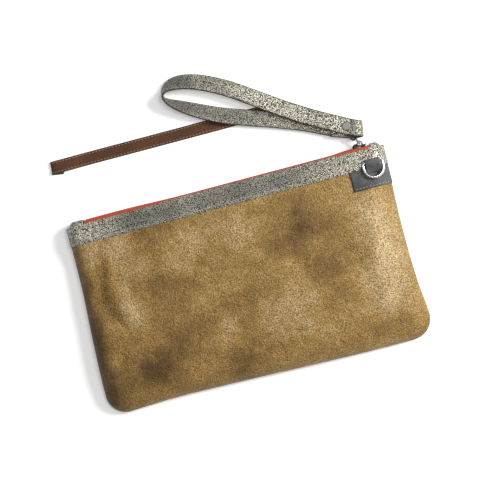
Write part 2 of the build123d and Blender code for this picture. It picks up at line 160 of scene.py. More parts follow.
# Creases and swellings of the leather: centre, heading in degrees, length, width, height
FOLDS = (
    (-113, 20, 72, 34, 5.5, -1.5),
    (-103, 34, 60, 26, 8.0, 0.8),
    (-106, -4, 118, 24, 5.0, -1.2),
    (-96, 2, 110, 26, 9.0, 0.7),
    (-84, -18, 150, 30, 7.0, -0.8),
    (-112, -40, 80, 24, 6.5, -1.1),
    (-92, -58, 24, 30, 6.0, -0.9),
    (-60, 40, 22, 40, 8.0, 0.7),
    (-40, -30, 160, 46, 12.0, -0.8),
    (10, -56, 4, 60, 9.0, -0.9),
    (30, 10, 35, 46, 14.0, 0.8),
    (50, -62, -8, 44, 7.0, 0.7),
    (84, -20, 100, 40, 9.0, -0.9),
    (100, 8, 82, 34, 7.0, 1.0),
    (108, -38, 70, 26, 6.0, -1.0),
    (98, -58, -30, 26, 7.0, -0.8),
    (70, 36, 20, 34, 9.0, -0.7),
)


def relief(x, y):
    """Creases, swellings and slow unevenness of the soft front, in millimetres."""
    height = 2.2 * soft_noise(x, y, 46.0, 3.1) + 1.0 * soft_noise(x, y, 19.0, 7.7)
    height = height + 0.35 * soft_noise(x, y, 8.0, 1.3)
    for cx, cy, heading, length, width, lift in FOLDS:
        a = math.radians(heading)
        along = ((x - cx) * math.cos(a) + (y - cy) * math.sin(a)) / length
        aside = (-(x - cx) * math.sin(a) + (y - cy) * math.cos(a)) / width
        height = height + 1.8 * lift * np.exp(-(along**2) * 2 - aside**2 * 1.4)
    return height


def front_height(x, y):
    """Height of the front's outer surface."""
    x, y = np.asarray(x, float), np.asarray(y, float)
    crown = CROWN_Z - CROWN_RADIUS + np.sqrt(CROWN_RADIUS**2 - (y - CROWN_Y) ** 2)
    near_mouth = smooth((y - 40) / 26)
    crown = crown - 2.0 * (x / 118) ** 2 * (1 - near_mouth)
    side_round = 1 - 0.35 * near_mouth
    share = quarter(x - left_edge(y), LEFT_ROUND * side_round)
    share = share * quarter(right_edge(y) - x, SIDE_ROUND * side_round)
    share = share * quarter(y - BASE_Y, BASE_ROUND)
    calm = 1 - near_mouth
    return SEAM_Z + (crown - SEAM_Z + relief(x, y) * calm * 0.9) * share


def edge_steps(reach, count):
    """Distances from an edge that follow a quarter round evenly."""
    return [reach * (1 - math.cos(math.pi / 2 * i / count)) for i in range(count)]


def plan_grid(ys, reach, middle, count=12):
    """Rows of points across the pouch, closer together near both side edges."""
    ys = np.asarray(ys, float)
    rows = []
    near = edge_steps(reach, count)
    for y in ys:
        left, right = float(left_edge(y)), float(right_edge(y))
        xs = [left + d for d in near]
        xs += list(np.linspace(left + reach, right - reach, middle))
        xs += [right - d for d in reversed(near)]
        rows.append(xs)
    x = np.array(rows)
    y = np.repeat(ys[:, None], x.shape[1], axis=1)
    return x, y


def panel_rows(top_y, step):
    """Row places from the base edge to top_y, closer together near the base."""
    near = [BASE_Y + d for d in edge_steps(BASE_ROUND, 14)]
    count = int((top_y - BASE_Y - BASE_ROUND) / step) + 1
    return near + list(np.linspace(BASE_Y + BASE_ROUND, top_y, count))


def sag_rows(x, y):
    """Moves the lowest rows to follow the base edge."""
    fade = np.clip(1 - (y - BASE_Y) / 60, 0, 1) ** 2
    return y + (base_edge(x) - BASE_Y) * fade


# ---------------------------------------------------------------- meshes

def grid_normals(points, up):
    """Unit normals of a grid of points, turned towards up."""
    across = np.gradient(points, axis=1)
    along = np.gradient(points, axis=0)
    normals = np.cross(across, along)
    lengths = np.linalg.norm(normals, axis=2, keepdims=True)
    normals = normals / np.maximum(lengths, 1e-9)
    return normals * up


def make_mesh(name, points, faces, materials, slots=None):
    """Smooth mesh object from points in millimetres."""
    mesh = bpy.data.meshes.new(name)
    scaled = (np.asarray(points, float).reshape(-1, 3) * MM).tolist()
    mesh.from_pydata(scaled, [], faces)
    mesh.update()
    for material in materials:
        mesh.materials.append(material)
    if slots is not None:
        mesh.polygons.foreach_set("material_index", slots)
    mesh.shade_smooth()
    piece = bpy.data.objects.new(name, mesh)
    bpy.context.scene.collection.objects.link(piece)
    return piece


def slab(name, outer, inner, materials, bare=None, up=1):
    """Sheet between two grids of points, closed but for the end named in bare."""
    rows, columns = outer.shape[:2]
    points = np.concatenate([outer.reshape(-1, 3), inner.reshape(-1, 3)])
    base = rows * columns
    faces, slots = [], []

    def quad(a, b, c, d, slot):
        faces.append((a, b, c, d) if up > 0 else (d, c, b, a))
        slots.append(slot)

    for i in range(rows - 1):
        for j in range(columns - 1):
            k = i * columns + j
            quad(k, k + 1, k + columns + 1, k + columns, 0)
            quad(base + k, base + k + columns, base + k + columns + 1, base + k + 1, 1)
    last = len(materials) - 1
    for j in range(columns - 1):
        m = (rows - 1) * columns + j
        quad(base + j, base + j + 1, j + 1, j, last)
        quad(m, m + 1, base + m + 1, base + m, last)
    for i in range(rows - 1):
        k, m = i * columns, i * columns + columns - 1
        if bare != "left":
            quad(k, k + columns, base + k + columns, base + k, last)
        if bare != "right":
            quad(base + m, base + m + columns, m + columns, m, last)
    slots = [min(s, last) for s in slots]
    return make_mesh(name, points, faces, materials, slots)


def fold_at_seam(piece):
    """Bakes the piece's placement into its mesh."""
    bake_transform(piece)


def fold_at_end(piece):
    """Bakes the piece's placement into its mesh."""
    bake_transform(piece)


def halves(node, outer, inner, materials, at_end=False):
    """Left and right half of a front piece, which meet in the middle."""
    middle = outer.shape[1] // 2
    for side, way in SIDES:
        part = slice(0, middle + 1) if way < 0 else slice(middle, None)
        inside = "right" if way < 0 else "left"
        piece = slab(f"{node}_{side}", outer[:, part], inner[:, part], materials, inside)
        if at_end:
            fold_at_end(piece)
        else:
            fold_at_seam(piece)
        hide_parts(node)


def ride_as(piece, body, node=None):
    """The piece moves with a body and may stand for a CAD node, which it hides."""
    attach(piece, body)
    if node:
        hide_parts(node)


def ring_faces(rings, sides, start=0):
    """Faces of a tube of rings with a flat face at both ends."""
    faces = []
    for i in range(rings - 1):
        for s in range(sides):
            a = start + i * sides + s
            b = start + i * sides + (s + 1) % sides
            faces.append((a, b, b + sides, a + sides))
    faces.append(tuple(start + s for s in reversed(range(sides))))
    faces.append(tuple(start + (rings - 1) * sides + s for s in range(sides)))
    return faces


def tube_mesh(name, path, radius, sides, material):
    """Round tube through a dense list of points."""
    path = np.asarray(path, float)
    count = len(path)
    tangents = np.gradient(path, axis=0)
    tangents /= np.maximum(np.linalg.norm(tangents, axis=1, keepdims=True), 1e-9)
    helper = np.tile(np.array([0.31, 0.27, 0.91]), (count, 1))
    first = np.cross(tangents, helper)
    first /= np.maximum(np.linalg.norm(first, axis=1, keepdims=True), 1e-9)
    second = np.cross(tangents, first)
    angles = np.linspace(0, 2 * math.pi, sides, endpoint=False)
    rings = [path + radius * (math.cos(a) * first + math.sin(a) * second) for a in angles]
    points = np.stack(rings, axis=1).reshape(-1, 3)
    return make_mesh(name, points, ring_faces(count, sides), [material])


def stitches(name, places, tangents, normals, length, radius, material):
    """Row of short thread humps, each a stretched low ball sunk into the leather."""
    places, tangents = np.asarray(places, float), np.asarray(tangents, float)
    normals = np.asarray(normals, float)
    rings, sides = 5, 6
    points, faces = [], []
    for place, tangent, normal in zip(places, tangents, normals):
        tangent = tangent / np.linalg.norm(tangent)
        normal = normal - tangent * normal.dot(tangent)
        normal = normal / np.linalg.norm(normal)
        aside = np.cross(tangent, normal)
        start = len(points)
        for i in range(rings):
            u = math.pi * (i + 0.5) / rings
            for s in range(sides):
                v = 2 * math.pi * s / sides
                flat = radius * math.sin(u)
                points.append(
                    place + tangent * (-length / 2 * math.cos(u))
                    + aside * flat * math.cos(v) + normal * flat * 0.8 * math.sin(v)
                )
        faces += ring_faces(rings, sides, start)
    return make_mesh(name, np.array(points), faces, [material])


def spaced(path, pitch, margin=0.0):
    """Places and tangents at even spacing along a dense path."""
    path = np.asarray(path, float)
    steps = np.linalg.norm(np.diff(path, axis=0), axis=1)
    length = np.concatenate([[0], np.cumsum(steps)])
    usable = length[-1] - 2 * margin
    count = max(int(usable / pitch), 1)
    at = margin + (np.arange(count) + 0.5) * usable / count
    places = np.stack([np.interp(at, length, path[:, i]) for i in range(3)], axis=1)
    ahead = np.stack([np.interp(at + 0.4, length, path[:, i]) for i in range(3)], axis=1)
    behind = np.stack([np.interp(at - 0.4, length, path[:, i]) for i in range(3)], axis=1)
    tangents = ahead - behind
    return places, tangents, at / length[-1]


# ---------------------------------------------------------------- materials

class Wire:
    """A value in a material that takes Python arithmetic and adds Math nodes."""

    def __init__(self, shop, socket):
        self.shop = shop
        self.socket = socket

    def _maths(self, operation, *values):
        return self.shop.node("ShaderNodeMath", {"operation": operation}, dict(enumerate(values)))

    def __add__(self, other):
        return self._maths("ADD", self, other)

    def __radd__(self, other):
        return self._maths("ADD", other, self)

    def __sub__(self, other):
        return self._maths("SUBTRACT", self, other)

    def __rsub__(self, other):
        return self._maths("SUBTRACT", other, self)

    def __mul__(self, other):
        return self._maths("MULTIPLY", self, other)

    def __rmul__(self, other):
        return self._maths("MULTIPLY", other, self)

    def least(self, other):
        return self._maths("MINIMUM", self, other)

    def most(self, other):
        return self._maths("MAXIMUM", self, other)


class Finish:
    """One procedural material on a Principled shader."""

    def __init__(self, name):
        self.material = bpy.data.materials.new(name)
        self.material.use_nodes = True
        self.tree = self.material.node_tree
        self.tree.nodes.clear()
        self.shader = self.tree.nodes.new("ShaderNodeBsdfPrincipled")
        end = self.tree.nodes.new("ShaderNodeOutputMaterial")
        self.tree.links.new(self.shader.outputs[0], end.inputs["Surface"])
        self.place = self.node("ShaderNodeTexCoord", output="Object")
        self.warped = self.place

    def node(self, kind, settings=None, values=None, output=0):
        """Adds a node: settings first, then the values or links of its sockets."""
        made = self.tree.nodes.new(kind)
        for key, value in (settings or {}).items():
            setattr(made, key, value)
        for key, value in (values or {}).items():
            self.put(made.inputs[key], value)
        return Wire(self, made.outputs[output])

    def put(self, socket, value):
        """Links a wire, or sets a plain value."""
        if isinstance(value, Wire):
            self.tree.links.new(value.socket, socket)
        elif hasattr(value, "__len__") and len(value) == 3 and socket.type == "RGBA":
            socket.default_value = tuple(value) + (1.0,)
        else:
            socket.default_value = value

    def set(self, **values):
        """Sets the shader's sockets; an underscore stands for a space."""
        for key, value in values.items():
            self.put(self.shader.inputs[key.replace("_", " ")], value)

    def noise(self, scale, detail=3.0, roughness=0.55, place=None, distortion=0.0):
        """Clouded value, 0 to 1; a larger scale gives smaller clouds."""
        values = {"Vector": place or self.place, "Scale": scale, "Detail": detail,
                  "Roughness": roughness, "Distortion": distortion}
        return self.node("ShaderNodeTexNoise", {}, values)

    def cells(self, scale, place=None, output=0):
        """Distance to the nearest cell centre, or with output 1 a colour for each cell."""
        values = {"Vector": place or self.place, "Scale": scale}
        return self.node("ShaderNodeTexVoronoi", {}, values, output)

    def wave(self, direction, scale, distortion):
        values = {"Vector": self.place, "Scale": scale, "Distortion": distortion}
        return self.node("ShaderNodeTexWave", {"bands_direction": direction}, values)

    def vector(self, operation, values, output=0):
        return self.node("ShaderNodeVectorMath", {"operation": operation}, values, output)

    def ramp(self, wire, stops):
        """Colours along a value, from three (place, colour) stops."""
        coloured = self.node("ShaderNodeValToRGB", {}, {0: wire})
        elements = coloured.socket.node.color_ramp.elements
        elements.new(0.5)
        for element, (place, colour) in zip(elements, stops):
            element.position = place
            element.color = colour + (1.0,)
        return coloured

    def grade(self, wire, low, high, to_low=0.0, to_high=1.0):
        """Smooth step of a value from one range to another."""
        values = {0: wire, 1: low, 2: high, 3: to_low, 4: to_high}
        settings = {"interpolation_type": "SMOOTHSTEP"}
        return self.node("ShaderNodeMapRange", settings, values)

    def blend(self, factor, a, b):
        """Colour a turning to b as factor rises."""
        settings = {"data_type": "RGBA", "clamp_factor": True}
        return self.node("ShaderNodeMix", settings, {0: factor, 6: a, 7: b}, output=2)

    def roughened(self, scale, amount):
        """The place, shifted a little by noise, so that cells lose their straight sides."""
        values = {"Vector": self.place, "Scale": scale, "Detail": 2.0}
        offset = self.node("ShaderNodeTexNoise", {}, values, output=1)
        centred = self.vector("SUBTRACT", {0: offset, 1: (0.5, 0.5, 0.5)})
        scaled = self.vector("SCALE", {0: centred, "Scale": amount})
        return self.vector("ADD", {0: self.place, 1: scaled})

    def stretched(self, x, y, z):
        return self.vector("MULTIPLY", {0: self.place, 1: (x, y, z)})

    def near(self, centre, size, heading=0.0):
        """1 at a place on the pouch, fading to 0 at an oval's edge; sizes in millimetres."""
        shifted = self.node("ShaderNodeMapping", {"vector_type": "TEXTURE"}, {
            "Vector": self.warped,
            "Location": (centre[0] * MM, centre[1] * MM, 0.0),
            "Rotation": (0.0, 0.0, math.radians(heading)),
            "Scale": (size[0] * MM, size[1] * MM, 1000.0),
        })
        distance = self.vector("LENGTH", {0: shifted}, output=1)
        return self.grade(distance, 1.0, 0.0)

    def bump(self, height, distance, strength=1.0, normal=None):
        """Normals raised by height, on top of another bump where normal is given."""
        values = {"Strength": strength, "Distance": distance, "Height": height}
        if normal is not None:
            values["Normal"] = normal
        return self.node("ShaderNodeBump", {}, values)


# Dark and light patches of the tanned leather, partly mottled dye and partly painted shade and painted
# highlights: centre, size, heading, strength
DARK_PATCHES_AND_SHADE = (
    ((51, 32), (36, 26), -25, 0.9),
    ((70, 3), (40, 30), 30, 1.0),
    ((54, -4), (26, 22), 0, 0.4),
    ((64, -30), (36, 22), 10, 0.75),
    ((84, -60), (36, 20), 6, 0.75),
    ((-67, 9), (34, 28), -20, 0.75),
    ((-86, -50), (46, 22), 10, 0.8),
    ((-63, -30), (28, 24), 0, 0.5),
    ((-35, -50), (34, 20), 0, 0.5),
    ((-68, 54), (26, 12), 0, 0.5),
    ((-107, 14), (14, 28), 6, 0.6),
    ((-104, 44), (8, 26), -35, 0.7),
    ((28, 22), (26, 34), 20, 0.45),
    ((24, 50), (36, 12), 0, 0.5),
    ((-12, -22), (20, 14), 30, 0.3),
    ((12, -60), (60, 12), 6, 0.4),
    # painted shade along the left side, which turns away from the key light
    ((-128, -12), (17, 120), 0, 1.9),
    ((-110, -30), (22, 26), 0, 0.3),
    ((104, -60), (24, 14), 0, 0.3),
    ((-4, 30), (18, 40), 30, 0.2),
)
LIGHT_PATCHES_AND_HIGHLIGHTS = (
    # the next two are painted highlights along the right side, which faces the key light
    ((106, 22), (28, 56), 12, 1.0),
    ((106, -26), (28, 46), 6, 1.0),
    ((88, 48), (22, 24), 0, 0.6),
    ((-91, 6), (12, 40), 8, 0.8),
    ((-102, 54), (22, 14), 0, 0.7),
    ((-84, 36), (20, 24), 20, 0.5),
    ((25, 6), (34, 12), -35, 0.6),
    ((-42, 32), (54, 26), 20, 0.45),
    ((-24, -32), (40, 12), 40, 0.35),
    ((28, -26), (50, 14), 10, 0.25),
    ((-32, 2), (44, 20), 20, 0.7),
    ((-96, -66), (30, 10), -20, 0.4),
    ((2, 36), (14, 30), -20, 0.3),
    ((40, -8), (10, 34), 30, 0.3),
)


def tan_leather(colours, name, mottled_and_painted_light):
    """Pull-up leather: cloudy tan and brown, fine grain, waxy shine; with patches on, also painted shade
    and painted highlights.
    """
    finish = Finish(name)
    drift = finish.noise(18.0, 2.0, 0.5)
    finish.warped = finish.roughened(28.0, 0.026)
    cloud = finish.noise(30.0, 5.0, 0.62)
    fine = finish.noise(160.0, 4.0, 0.6)
    tone = cloud * 0.66 + drift * 0.25 + fine * 0.24 - 0.09
    if mottled_and_painted_light:
        # mottling of the dye, with painted shade and painted highlights laid into the tone
        for centre, size, heading, strength in DARK_PATCHES_AND_SHADE:
            tone = tone - finish.near(centre, size, heading) * (strength * 0.2)
        for centre, size, heading, strength in LIGHT_PATCHES_AND_HIGHLIGHTS:
            tone = tone + finish.near(centre, size, heading) * (strength * 0.19)
    dark, middle, light = [tuple(c) for c in (colours.tan_dark, colours.tan_middle, colours.tan_light)]
    colour = finish.ramp(tone, [(0.22, dark), (0.5, middle), (0.78, light)])
    pebbles = finish.cells(1080.0, place=finish.roughened(420.0, 0.0009))
    wrinkle = finish.noise(900.0, 3.0, 0.65, distortion=0.3)
    speck = finish.grade(wrinkle, 0.4, 0.6)
    hollow_shade = finish.grade(pebbles, 0.35, 0.75)
    # darker in the grain's pits and fine wrinkles: partly the grain's own colour, partly painted shade in
    # those recesses
    colour = finish.blend((0.46 * (1 - speck) + 0.46 * hollow_shade).least(0.76), colour, dark)
    finish.set(Base_Color=colour)
    finish.set(Roughness=0.38 + 0.2 * cloud + 0.12 * (1 - speck))
    finish.set(Specular_IOR_Level=0.35)
    creases = finish.noise(150.0, 4.0, 0.6, distortion=0.8)
    grain = finish.bump(1 - pebbles, 0.0006, 0.9)
    fine_grain = finish.bump(wrinkle, 0.0006, 0.8, grain)
    finish.set(Normal=finish.bump(creases, 0.0022, 0.6, fine_grain))
    return finish.material


# Dull and bright stretches of the foiled leather, which are painted reflections and painted shade: centre,
# size, heading, strength
FOIL_SHEEN_AND_SHADE_PATCHES = (
    ((-72, 66), (22, 14), 0, -0.5),
    ((-14, 66), (30, 14), 0, -0.35),
    ((14, 66), (20, 14), 0, -0.45),
    ((42, 66), (28, 14), 0, -0.35),
    ((-48, 66), (20, 14), 0, -0.4),
    ((-112, 68), (30, 16), 0, 0.45),
    ((108, 66), (50, 20), 0, 0.4),
    ((-24, 156), (26, 26), 0, -1.1),
    ((6, 128), (70, 10), -22, -0.3),
    ((54, 123), (60, 12), -37, 1.0),
    ((98, 94), (24, 16), -20, 0.5),
)


def metallic_leather(colours, name):
    """Foiled leather: pale metallic flakes over dark cracks, with painted sheen and painted shade in
    stretches.
    """
    finish = Finish(name)
    ground = finish.roughened(800.0, 0.0004)
    flakes = finish.cells(1250.0, place=ground)
    cracks = finish.noise(1300.0, 3.0, 0.7)
    mask = finish.grade(1 - flakes + 0.35 * cracks, 0.46, 0.82)
    wide = finish.noise(30.0, 4.0, 0.6)
    # painted sheen: random tone, and stretches painted pale where light would glance off the foil and grey
    # where the foil lies in shade
    tone_and_painted_sheen = wide * 0.55 + 0.12
    for centre, size, heading, strength in FOIL_SHEEN_AND_SHADE_PATCHES:
        tone_and_painted_sheen = tone_and_painted_sheen + finish.near(centre, size, heading) * strength
    tone_and_painted_sheen = tone_and_painted_sheen.least(1.0).most(0.0)
    pale, grey, deep = [tuple(c) for c in (colours.foil_pale_sheen, colours.foil_dull_and_shaded, colours.foil_deep)]
    tint = finish.cells(1250.0, place=ground, output=1)
    dulled = finish.grade(finish.node("ShaderNodeSeparateXYZ", {}, {0: tint}), 0.0, 1.0, 0.0, 0.75)
    foil = finish.blend(dulled, finish.blend(tone_and_painted_sheen, grey, pale), grey)
    finish.set(Base_Color=finish.blend(mask, deep, foil))
    finish.set(Metallic=0.1 + 0.5 * mask)
    finish.set(Roughness=0.6 - 0.2 * mask)
    fine = finish.noise(1500.0, 2.0, 0.5)
    finish.set(Normal=finish.bump(mask + 0.3 * fine, 0.00025, 0.9))
    return finish.material


def plain_leather(name, colour, tint, grain_scale, roughness, depth=0.0002):
    """Smooth dyed leather with a fine grain and uneven dye."""
    finish = Finish(name)
    cloud = finish.noise(60.0, 4.0, 0.6)
    speck = finish.noise(grain_scale, 3.0, 0.65)
    pores = finish.cells(grain_scale * 1.1)
    colour = finish.blend(finish.grade(cloud, 0.35, 0.68), tuple(colour), tuple(tint))
    colour = finish.blend(finish.grade(speck, 0.4, 0.65, 0.0, 0.6), colour, tuple(c * 0.35 for c in tint))
    finish.set(Base_Color=colour, Specular_IOR_Level=0.35)
    finish.set(Roughness=roughness + 0.16 * cloud)
    finish.set(Normal=finish.bump(pores + 0.6 * speck, depth, 0.6))
    return finish.material


def woven(name, colour, shade, scale):
    """Plain weave: warp and weft ribs with slight unevenness."""
    finish = Finish(name)
    weave = finish.wave("X", scale, 0.4).most(finish.wave("Y", scale, 0.4))
    cloud = finish.noise(80.0, 3.0, 0.6)
    lit = (0.55 * weave + 0.5 * cloud).least(1.0)
    finish.set(Base_Color=finish.blend(lit, tuple(shade), tuple(colour)))
    finish.set(Roughness=0.75 + 0.12 * cloud)
    finish.set(Normal=finish.bump(weave, 0.00012, 0.7))
    return finish.material


def metal(name, colour, roughness, wear, tint):
    """Plated metal with faint handling marks."""
    finish = Finish(name)
    cloud = finish.noise(220.0, 4.0, 0.6)
    scratch = finish.noise(900.0, 2.0, 0.5, place=finish.stretched(1.0, 0.12, 1.0))
    worn = finish.grade(cloud, 0.5, 0.75)
    finish.set(Base_Color=finish.blend(worn * wear, colour, tint))
    finish.set(Metallic=1.0)
    finish.set(Roughness=roughness + 0.16 * cloud)
    finish.set(Normal=finish.bump(scratch, 0.00003, 0.5))
    return finish.material


def thread(name, colour):
    """Twisted sewing thread."""
    finish = Finish(name)
    twist = finish.wave("DIAGONAL", 900.0, 1.0)
    finish.set(Base_Color=finish.blend(0.5 * twist, colour, tuple(c * 0.55 for c in colour)))
    finish.set(Roughness=0.7)
    finish.set(Normal=finish.bump(twist, 0.00006, 0.6))
    return finish.material


def paper(name, colour):
    """Matte backdrop paper."""
    finish = Finish(name)
    fibre = finish.noise(900.0, 2.0, 0.5)
    finish.set(Base_Color=finish.blend(0.1 * fibre, colour, tuple(c * 0.97 for c in colour)))
    finish.set(Roughness=0.9, Emission_Color=colour, Emission_Strength=0.28)
    return finish.material


FINISHES = {}


def finish_makers(colours):
    """What makes each material, with its colours, scales and roughness."""
    orange = colours.zip_orange
    grey_tint, suede_tint = (0.13, 0.13, 0.13), (0.34, 0.23, 0.13)
    return {
        "tan": (tan_leather, colours, "tan_leather", True),
        "tan_back": (tan_leather, colours, "tan_leather_back", False),
        "foil": (metallic_leather, colours, "foiled_leather"),
        "suede": (plain_leather, "suede_flesh_side", (0.42, 0.30, 0.18), suede_tint, 900.0, 0.8),
        "edge": (plain_leather, "edge_paint", (0.035, 0.03, 0.025), (0.06, 0.05, 0.04), 700.0, 0.5),
        "charcoal": (plain_leather, "charcoal_leather", colours.charcoal, grey_tint, 800.0, 0.66, 0.0005),
        "brown": (plain_leather, "brown_leather", colours.brown, (0.11, 0.041, 0.013), 800.0, 0.64),
        "lining": (woven, "cotton_lining", (0.50, 0.43, 0.33), (0.36, 0.30, 0.22), 260.0),
        "tape": (woven, "zipper_tape", orange, (0.30, 0.04, 0.012), 420.0),
        "coil": (plain_leather, "zipper_coil", orange, (0.42, 0.07, 0.02), 500.0, 0.42, 0.00004),
        "gunmetal": (metal, "gunmetal", (0.07, 0.07, 0.075), 0.24, 0.5, (0.035, 0.035, 0.038)),
        "nickel": (metal, "polished_nickel", (0.83, 0.83, 0.86), 0.13, 0.3, (0.7, 0.7, 0.73)),
        "rivet": (metal, "satin_nickel", (0.20, 0.19, 0.185), 0.45, 0.5, (0.15, 0.145, 0.14)),
        "foil_thread": (thread, "grey_thread", (0.42, 0.40, 0.33)),
        "tab_thread": (thread, "silver_thread", (0.42, 0.42, 0.44)),
        "brown_thread": (thread, "copper_thread", (0.60, 0.34, 0.22)),
        "paper": (paper, "backdrop_paper", (0.93, 0.93, 0.93)),
    }


def finish_for(key):
    """The material of that key, made once."""
    if key not in FINISHES:
        maker, *values = finish_makers(bpy.context.scene.pouch_colours)[key]
        FINISHES[key] = maker(*values)
    return FINISHES[key]


# ---------------------------------------------------------------- leather body

def stacked(x, y, z):
    """Grid of points from its three coordinates."""
    return np.stack([x, y, z], axis=2)


def front_points(ys, middle):
    """Outer surface of the front over the given rows."""
    x, y = plan_grid(ys, SIDE_ROUND, middle)
    return stacked(x, sag_rows(x, y), front_height(x, y))


def under(points, depth):
    """The same grid, sunk by depth along its normals and kept inside the seam."""
    sunk = points - grid_normals(points, 1) * depth
    sunk[..., 2] = np.maximum(sunk[..., 2], SEAM_Z)
    return sunk


def back_points(ys, middle, depth=0.0):
    """Outer surface of the back, flat on the table with a soft round edge."""
    x, y = plan_grid(ys, BACK_EDGE_GRID, middle, 8)
    side = np.minimum(x - left_edge(y), right_edge(y) - x)
    share = quarter(side, BACK_EDGE_ROUND) * quarter(y - BASE_Y, BACK_EDGE_ROUND)
    z = (SEAM_Z - 0.05) * (1 - share) + 0.02
    points = stacked(x, sag_rows(x, y), z)
    if depth:
        normals = grid_normals(points, 1)
        points = points + normals * depth
        points[..., 2] = np.minimum(points[..., 2], SEAM_Z - 0.1)
    return points


def band_profile(ys, low, high):
    """Lift of a folded band above the panel: rounded steps at its low edge and at the mouth."""
    ys = np.asarray(ys, float)
    step = np.sqrt(np.clip(1 - (1 - np.clip((ys - low) / 0.7, 0, 1)) ** 2, 0, 1))
    roll = np.sqrt(np.clip(1 - np.clip((ys - (high - 0.9)) / 0.9, 0, 1) ** 2, 0, 1))
    return step, roll


def mouth_edge(x):
    """Where the band's edge lies at the mouth: it bows out between the ends."""
    return MOUTH_Y + 0.75 * smooth((x + 96) / 70) * (1 - smooth((x - 80) / 16))


def chain_line(x):
    """Where the closed coil lies, with a slight hump near the open end."""
    middle = smooth((x + 78) / 50) * (1 - smooth((x - 82) / 12))
    return CHAIN_Y + 0.45 * np.exp(-((x + 92) / 34) ** 2) - 0.6 * middle


class POUCH_OT_front(bpy.types.Operator):
    """Front panel of soft tan leather, creased and puffed, down to the side seams"""
    bl_idname = "pouch.front"
    bl_label = "Front panel"

    def execute(self, context):
        sizes = context.scene.pouch_sizes
        outer = front_points(panel_rows(BAND_LOW_Y + 1.5, 1.6), 150)
        inner = under(outer, sizes.leather / MM)
        materials = [finish_for("tan"), finish_for("suede"), finish_for("edge")]
        halves("front_panel", outer, inner, materials)
        outer = front_points(panel_rows(MOUTH_Y - LINING_REACH, 4.0), 60)
        high, low = [under(outer, depth) for depth in FRONT_LINING]
        halves("front_lining", high, low, [finish_for("lining")])
        return {"FINISHED"}


class POUCH_OT_back(bpy.types.Operator):
    """Back panel and its lining, flat where the pouch rests"""
    bl_idname = "pouch.back"
    bl_label = "Back panel"

    def execute(self, context):
        sizes = context.scene.pouch_sizes
        rows = [BASE_Y + d for d in edge_steps(BACK_EDGE_GRID, 8)]
        rows += list(np.linspace(BASE_Y + BACK_EDGE_GRID, BAND_LOW_Y, 60))
        outer = back_points(rows, 90)
        inner = back_points(rows, 90, sizes.leather / MM)
        materials = [finish_for("tan_back"), finish_for("suede"), finish_for("edge")]
        piece = slab("back_panel_leather", outer, inner, materials, up=-1)
        ride_as(piece, "pouch", "back_panel")
        rows = list(np.linspace(BASE_Y + 3.0, MOUTH_Y - LINING_REACH, 40))
        low, high = [back_points(rows, 40, depth) for depth in BACK_LINING]
        piece = slab("back_lining_cloth", high, low, [finish_for("lining")])
        ride_as(piece, "pouch", "back_lining")
        return {"FINISHED"}


def band_rows():
    """Row places of the front band, closer together at its two folded edges."""
    low = [BAND_LOW_Y - 0.3 + 0.7 * t for t in (0.0, 0.04, 0.12, 0.3, 0.6, 1.0)]
    middle = list(np.linspace(BAND_LOW_Y + 1.0, MOUTH_Y - 1.2, 12))
    top = [MOUTH_Y - 0.9 + 0.9 * t for t in (0.0, 0.4, 0.7, 0.88, 0.97, 1.0)]
    return low + middle + top


def follow_mouth(x, y):
    """Moves the band's highest rows out to the bowed edge of the mouth."""
    fade = smooth((y - 66) / (MOUTH_Y - 66))
    return y + (mouth_edge(x) - MOUTH_Y) * fade


def sewn_row(name, points, normals, sizes, material, length=None):
    """Stitches along a line on a grid of leather."""
    places, tangents, share = spaced(points, sizes.stitch_pitch / MM)
    lengths = np.linspace(0, 1, len(points))
    sampled = np.stack([np.interp(share, lengths, normals[:, i]) for i in range(3)], axis=1)
    size = length or sizes.stitch_length / MM
    return stitches(name, places, tangents, sampled, size, THREAD_RADIUS, material)


